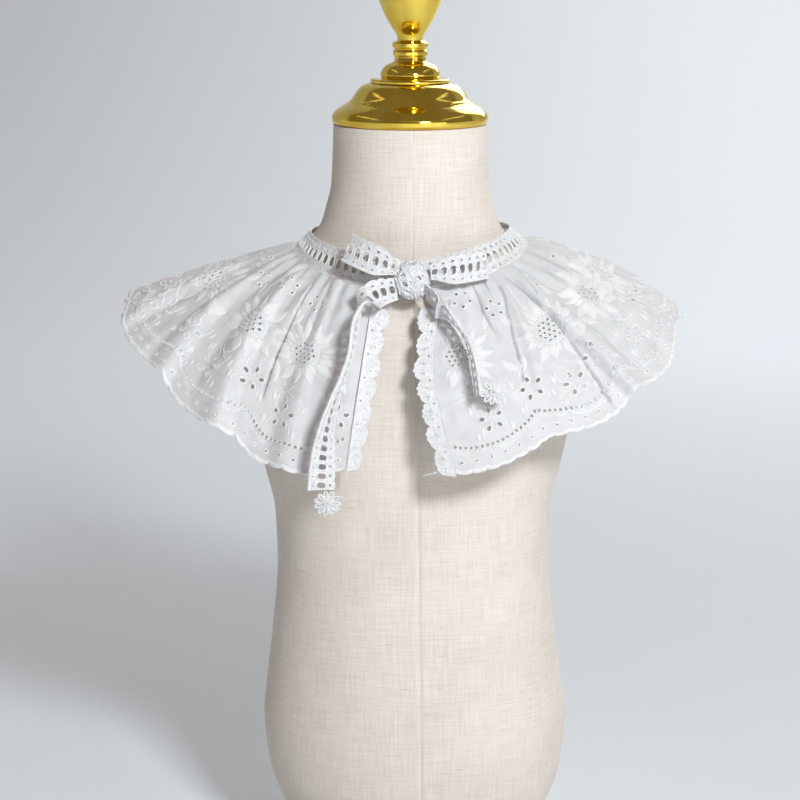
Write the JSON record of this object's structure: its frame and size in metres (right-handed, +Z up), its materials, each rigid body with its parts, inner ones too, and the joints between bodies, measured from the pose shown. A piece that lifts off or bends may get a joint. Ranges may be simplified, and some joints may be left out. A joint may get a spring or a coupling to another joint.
{
  "type": "detachable lace collar on dress form",
  "caption": "White cotton eyelet-embroidered collar with a scalloped hem, ladder-lace neckband and tied bow, worn on a child's limbless linen dress form with a turned gilt cap.",
  "frame": {"origin": "middle of the whole object's box, on the form's flat base", "axes": "+Z up along the form, -Y out of the wearer's chest, +X to the wearer's left"},
  "size_m": [0.3369, 0.2495, 0.5522],
  "materials": {
    "linen": "woven linen",
    "gilt": "polished",
    "cotton": "fine cotton with eyelet embroidery",
    "lace": "cotton lace"
  },
  "bodies": {
    "root": {"form_torso": "linen", "neck_cap": "gilt", "finial": "gilt", "cape": "cotton", "neckband_left": "lace", "neckband_right": "lace", "trim_left": "lace", "trim_right": "lace", "knot": "lace", "loop_left": "lace", "loop_right": "lace", "tail_left": "lace", "tail_right": "lace", "pendant_left": "lace", "pendant_right": "lace"}
  },
  "joints": []
}
